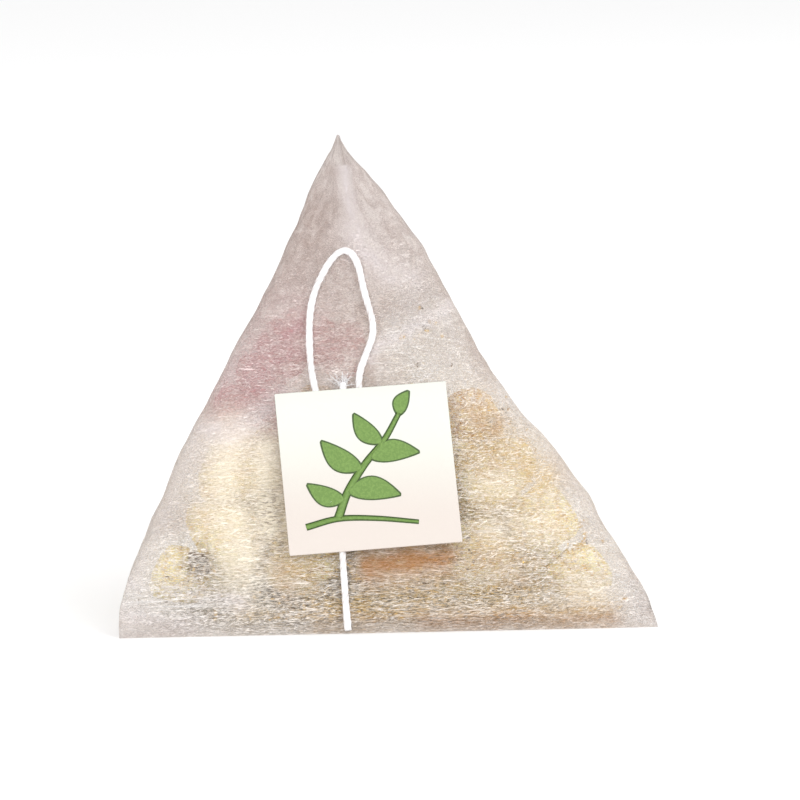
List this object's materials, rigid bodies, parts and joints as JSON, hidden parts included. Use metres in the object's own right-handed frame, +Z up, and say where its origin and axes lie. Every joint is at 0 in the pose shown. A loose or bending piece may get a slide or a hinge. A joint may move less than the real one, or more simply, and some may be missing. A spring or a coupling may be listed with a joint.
{
  "type": "pyramid tea bag",
  "caption": "Pyramid bag of see-through nonwoven cloth with a dried fruit and flower filling, a string and a square card tag.",
  "frame": {"origin": "middle of the bag's underside, on the surface that the bag stands on", "axes": "+Z up to the tip, the front face with the tag towards -Y, +X to the right seen from the front"},
  "size_m": [0.0622, 0.0587, 0.0538],
  "materials": {
    "cloth": "see-through nonwoven",
    "string": "twisted cotton",
    "tag": "uncoated card",
    "fruit_piece": "dried, matt",
    "rose_petal": "dried, matt",
    "peel_slice": "dried, slightly waxy",
    "dark_seed": "matt"
  },
  "bodies": {
    "root": {"bag": "cloth", "dark_seed_01": "dark_seed", "dark_seed_02": "dark_seed", "dark_seed_03": "dark_seed", "dark_seed_04": "dark_seed", "dark_seed_05": "dark_seed", "dark_seed_06": "dark_seed", "fruit_piece_01": "fruit_piece", "fruit_piece_02": "fruit_piece", "fruit_piece_03": "fruit_piece", "fruit_piece_04": "fruit_piece", "fruit_piece_05": "fruit_piece", "fruit_piece_06": "fruit_piece", "fruit_piece_07": "fruit_piece", "fruit_piece_08": "fruit_piece", "fruit_piece_09": "fruit_piece", "fruit_piece_10": "fruit_piece", "fruit_piece_11": "fruit_piece", "fruit_piece_12": "fruit_piece", "fruit_piece_13": "fruit_piece", "fruit_piece_14": "fruit_piece", "fruit_piece_15": "fruit_piece", "fruit_piece_16": "fruit_piece", "fruit_piece_17": "fruit_piece", "fruit_piece_18": "fruit_piece", "fruit_piece_19": "fruit_piece", "fruit_piece_20": "fruit_piece", "fruit_piece_21": "fruit_piece", "fruit_piece_22": "fruit_piece", "fruit_piece_23": "fruit_piece", "fruit_piece_24": "fruit_piece", "fruit_piece_25": "fruit_piece", "fruit_piece_26": "fruit_piece", "fruit_piece_27": "fruit_piece", "fruit_piece_28": "fruit_piece", "fruit_piece_29": "fruit_piece", "fruit_piece_30": "fruit_piece", "fruit_piece_31": "fruit_piece", "fruit_piece_32": "fruit_piece", "fruit_piece_33": "fruit_piece", "fruit_piece_34": "fruit_piece", "fruit_piece_35": "fruit_piece", "fruit_piece_36": "fruit_piece", "fruit_piece_37": "fruit_piece", "fruit_piece_38": "fruit_piece", "fruit_piece_39": "fruit_piece", "fruit_piece_40": "fruit_piece", "fruit_piece_41": "fruit_piece", "fruit_piece_42": "fruit_piece", "peel_slice_01": "peel_slice", "peel_slice_02": "peel_slice", "peel_slice_03": "peel_slice", "rose_petal_01": "rose_petal", "rose_petal_02": "rose_petal", "rose_petal_03": "rose_petal", "string": "string", "tag": "tag"}
  },
  "joints": []
}
